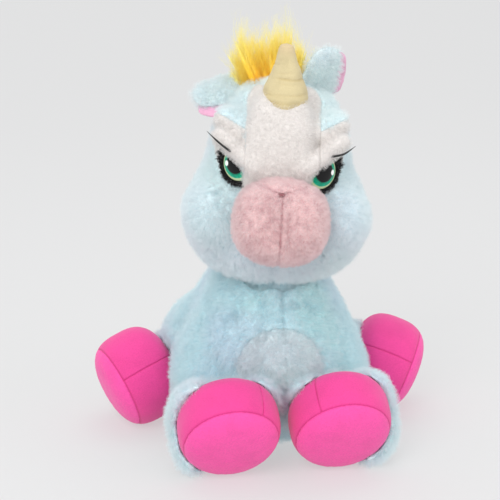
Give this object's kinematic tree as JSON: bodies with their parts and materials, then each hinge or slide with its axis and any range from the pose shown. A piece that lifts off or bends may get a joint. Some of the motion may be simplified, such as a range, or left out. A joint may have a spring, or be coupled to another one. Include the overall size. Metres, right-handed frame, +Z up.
{
  "type": "plush unicorn",
  "caption": "Seated plush unicorn with an outsized head that nods and turns, splayed stuffed legs, a cloth horn and a tufted mane.",
  "frame": {"origin": "on the floor, under the middle of the whole toy", "axes": "+Z up, -Y the way the torso faces, +X towards the toy's own left side"},
  "size_m": [0.2342, 0.2436, 0.2878],
  "materials": {
    "blue_fur": "soft pale blue pile, matte",
    "white_fur": "short off-white pile, matte",
    "pink_fur": "short dusty pink pile, matte",
    "ear_pink": "short pink pile, matte",
    "hoof_fleece": "brushed magenta fleece",
    "sole_fleece": "nubby magenta fleece, a little paler",
    "horn_cloth": "smooth cream woven cloth",
    "mane_fur": "long yellow pile with orange roots and pale tips",
    "eye_gloss": "clear domed gloss over a green iris",
    "black_felt": "fuzzy black felt",
    "black_plastic": "fine black bristle",
    "washer_plastic": "moulded, unseen",
    "stuffing": "loose fibre, unseen",
    "beans": "bag of pellets, unseen",
    "thread": "dark pink sewing thread",
    "label_cloth": "blank satin ribbon"
  },
  "bodies": {
    "root": {"body_fur_left": "blue_fur", "body_fur_right": "blue_fur", "chest_patch_left": "blue_fur", "chest_patch_right": "blue_fur", "seat_panel": "blue_fur", "bean_bag": "beans", "torso_stuffing": "stuffing", "care_label": "label_cloth"},
    "neck": {"neck_stuffing": "stuffing"},
    "head": {"blaze": "white_fur", "eye_patch_left": "white_fur", "eye_patch_right": "white_fur", "head_fur_left": "blue_fur", "head_fur_right": "blue_fur", "head_stuffing": "stuffing", "muzzle_top": "pink_fur", "muzzle_left": "pink_fur", "muzzle_right": "pink_fur", "muzzle_stuffing": "stuffing", "nose_stitch": "thread", "mouth_stitch": "thread", "eye_left": "eye_gloss", "eye_right": "eye_gloss", "eye_felt_left": "black_felt", "eye_felt_right": "black_felt", "eye_washer_left": "washer_plastic", "eye_washer_right": "washer_plastic", "eyelash_left": "black_plastic", "eyelash_right": "black_plastic", "horn_cover": "horn_cloth", "horn_stuffing": "stuffing", "forelock": "mane_fur", "mane_crest": "mane_fur"},
    "ear_left": {"ear_left_back": "blue_fur", "ear_left_lining": "ear_pink"},
    "ear_right": {"ear_right_back": "blue_fur", "ear_right_lining": "ear_pink"},
    "leg_front_left": {"leg_front_left_sleeve": "blue_fur", "leg_front_left_stuffing": "stuffing", "hoof_front_left_upper": "hoof_fleece", "hoof_front_left_lower": "hoof_fleece", "hoof_front_left_sole": "sole_fleece"},
    "leg_front_right": {"leg_front_right_sleeve": "blue_fur", "leg_front_right_stuffing": "stuffing", "hoof_front_right_upper": "hoof_fleece", "hoof_front_right_lower": "hoof_fleece", "hoof_front_right_sole": "sole_fleece"},
    "leg_hind_left": {"leg_hind_left_sleeve": "blue_fur", "leg_hind_left_stuffing": "stuffing", "hoof_hind_left_upper": "hoof_fleece", "hoof_hind_left_lower": "hoof_fleece", "hoof_hind_left_sole": "sole_fleece"},
    "leg_hind_right": {"leg_hind_right_sleeve": "blue_fur", "leg_hind_right_stuffing": "stuffing", "hoof_hind_right_upper": "hoof_fleece", "hoof_hind_right_lower": "hoof_fleece", "hoof_hind_right_sole": "sole_fleece"},
    "tail": {"tail": "mane_fur"}
  },
  "joints": [
    {"name": "neck_nod", "type": "hinge", "parent": "root", "child": "neck", "pos_m": [-0.003, -0.02155, 0.127], "axis": [0.9848, -0.1736, 0], "range_deg": [-7, 7]},
    {"name": "head_turn", "type": "hinge", "parent": "neck", "child": "head", "pos_m": [-0.003, -0.02155, 0.127], "axis": [0, 0, 1], "range_deg": [-20, 40]},
    {"name": "ear_left_fold", "type": "hinge", "parent": "head", "child": "ear_left", "pos_m": [0.02852, -0.02624, 0.24141], "axis": [0.7977, 0.4634, -0.3859], "range_deg": [-12, 18]},
    {"name": "ear_right_fold", "type": "hinge", "parent": "head", "child": "ear_right", "pos_m": [-0.02663, -0.01639, 0.24234], "axis": [0.1228, 0.9323, 0.3403], "range_deg": [-12, 18]},
    {"name": "leg_front_left_lift", "type": "hinge", "parent": "root", "child": "leg_front_left", "pos_m": [0.033, -0.06055, 0.071], "axis": [-1, 0, 0], "range_deg": [0, 20]},
    {"name": "leg_front_right_lift", "type": "hinge", "parent": "root", "child": "leg_front_right", "pos_m": [-0.039, -0.06055, 0.071], "axis": [-1, 0, 0], "range_deg": [0, 20]},
    {"name": "leg_hind_left_swing", "type": "hinge", "parent": "root", "child": "leg_hind_left", "pos_m": [0.04962, 0.04725, 0.05172], "axis": [0, 0, 1], "range_deg": [-14, 14]},
    {"name": "leg_hind_right_swing", "type": "hinge", "parent": "root", "child": "leg_hind_right", "pos_m": [-0.04962, 0.04725, 0.05172], "axis": [0, 0, 1], "range_deg": [-14, 14]},
    {"name": "tail_swing", "type": "hinge", "parent": "root", "child": "tail", "pos_m": [-0.003, 0.07245, 0.047], "axis": [0, 0, 1], "range_deg": [-30, 30]}
  ]
}
